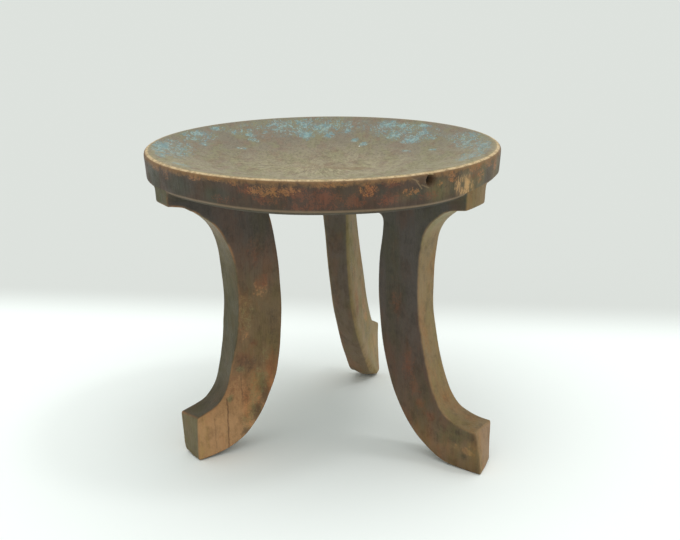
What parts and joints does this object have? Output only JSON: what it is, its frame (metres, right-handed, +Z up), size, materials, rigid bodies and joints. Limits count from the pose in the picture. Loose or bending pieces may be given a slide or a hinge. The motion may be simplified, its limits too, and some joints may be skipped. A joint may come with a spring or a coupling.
{
  "type": "carved wooden stool",
  "caption": "Low round stool carved in wood: a dished seat on legs that bow inwards, each a C-shaped slab with a turned-out foot.",
  "frame": {"origin": "on the floor, under the middle of the round seat", "axes": "+Z up, square to the floor; the picture looks along +Y, with +X to its right"},
  "size_m": [0.3248, 0.325, 0.2893],
  "materials": {
    "seat_wood": "worn bare wood with tool marks, traces of blue paint, dark waxy side",
    "leg_left_wood": "worn dark brown wood, redder and paler at the foot",
    "leg_right_wood": "worn dark brown wood, paler on the edges",
    "leg_back_wood": "worn brown wood"
  },
  "bodies": {
    "root": {"seat": "seat_wood", "leg_left": "leg_left_wood", "leg_right": "leg_right_wood", "leg_back": "leg_back_wood"}
  },
  "joints": []
}
